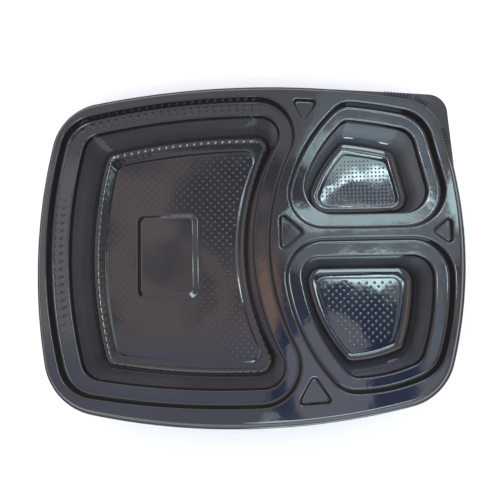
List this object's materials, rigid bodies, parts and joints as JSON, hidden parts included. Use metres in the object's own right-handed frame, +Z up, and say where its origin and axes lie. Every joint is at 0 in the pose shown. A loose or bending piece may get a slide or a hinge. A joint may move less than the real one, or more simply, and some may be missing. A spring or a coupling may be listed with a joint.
{
  "type": "compartment meal tray",
  "caption": "Thin formed plastic meal tray, empty, with a large deep compartment and smaller ones beside it, stepped ledges, a turned-down lip, rim pockets and a corner lifting tab.",
  "frame": {"origin": "middle of the tray's outer size in plan, level with the undersides of the three floors it rests on", "axes": "+X along the long side from the large compartment to the two small ones, +Y across towards the side with the tab, +Z up"},
  "size_m": [0.2399, 0.1919, 0.0386],
  "materials": {
    "black_plastic": "gloss"
  },
  "bodies": {
    "root": {"tray": "black_plastic"}
  },
  "joints": []
}
